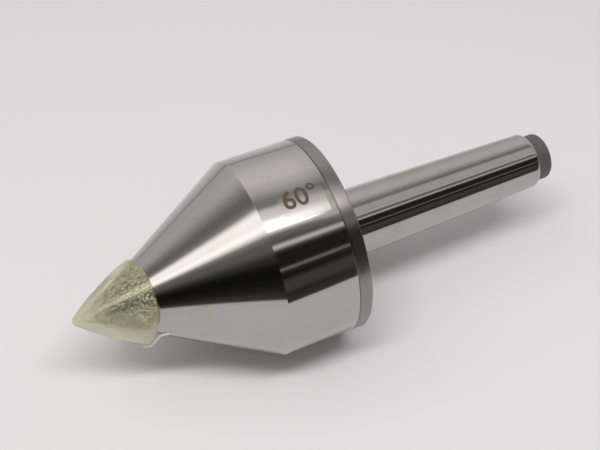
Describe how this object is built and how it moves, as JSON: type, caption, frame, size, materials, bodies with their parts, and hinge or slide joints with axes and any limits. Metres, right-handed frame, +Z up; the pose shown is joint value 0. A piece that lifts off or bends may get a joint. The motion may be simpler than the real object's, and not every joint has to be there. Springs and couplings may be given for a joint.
{
  "type": "live center",
  "caption": "Large rotating 60 degree lathe center: a bull-nose head on sealed roller bearings, turning on a tapered arbor.",
  "frame": {"origin": "on the axis at the gauge plane of the Morse No. 4 taper, where the arbor enters the tailstock", "axes": "+X along the axis from the point to the tail, +Z up, the head's cylinder resting on the surface below"},
  "size_m": [0.2307, 0.0888, 0.0888],
  "materials": {
    "head_steel": "fine ground, circumferential lines",
    "cap_steel": "dark satin, turned and blackened",
    "arbor_steel": "ground, with a dark unground tail stub",
    "bearing_steel": "polished hardened steel",
    "cage_steel": "pressed sheet, matte",
    "dark_steel": "black oxide, satin",
    "bronze": "turned bronze",
    "rubber": "matte black nitrile",
    "coating": "translucent olive-yellow dip, glossy, bubbled"
  },
  "bodies": {
    "arbor": {"arbor": "arbor_steel", "rear_bearing_cone": "bearing_steel", "front_inner_ring": "bearing_steel", "spacer_sleeve": "dark_steel", "lock_washer": "dark_steel", "locknut": "dark_steel"},
    "head": {"head_cone": "head_steel", "tip_coating": "coating", "end_cap": "cap_steel", "seal_case": "cage_steel", "seal_lip": "rubber", "disc_spring": "dark_steel", "thrust_washer": "bronze", "rear_bearing_cup": "bearing_steel", "front_outer_ring": "bearing_steel", "bore_circlip": "dark_steel"},
    "rear_roller_set": {"rear_cage": "cage_steel", "rear_rollers": "bearing_steel"},
    "front_roller_set": {"front_cage": "cage_steel", "front_rollers": "bearing_steel"}
  },
  "joints": [
    {"name": "head_spin", "type": "hinge", "parent": "arbor", "child": "head", "pos_m": [-0.03, 0, 0], "axis": [1, 0, 0], "continuous": true},
    {"name": "rear_rollers_orbit", "type": "hinge", "parent": "arbor", "child": "rear_roller_set", "pos_m": [-0.03, 0, 0], "axis": [1, 0, 0], "continuous": true},
    {"name": "front_rollers_orbit", "type": "hinge", "parent": "arbor", "child": "front_roller_set", "pos_m": [-0.05, 0, 0], "axis": [1, 0, 0], "continuous": true}
  ],
  "couplings": [
    {"joint": "rear_rollers_orbit", "follows": "head_spin", "ratio": 0.58214},
    {"joint": "front_rollers_orbit", "follows": "head_spin", "ratio": 0.59615}
  ]
}
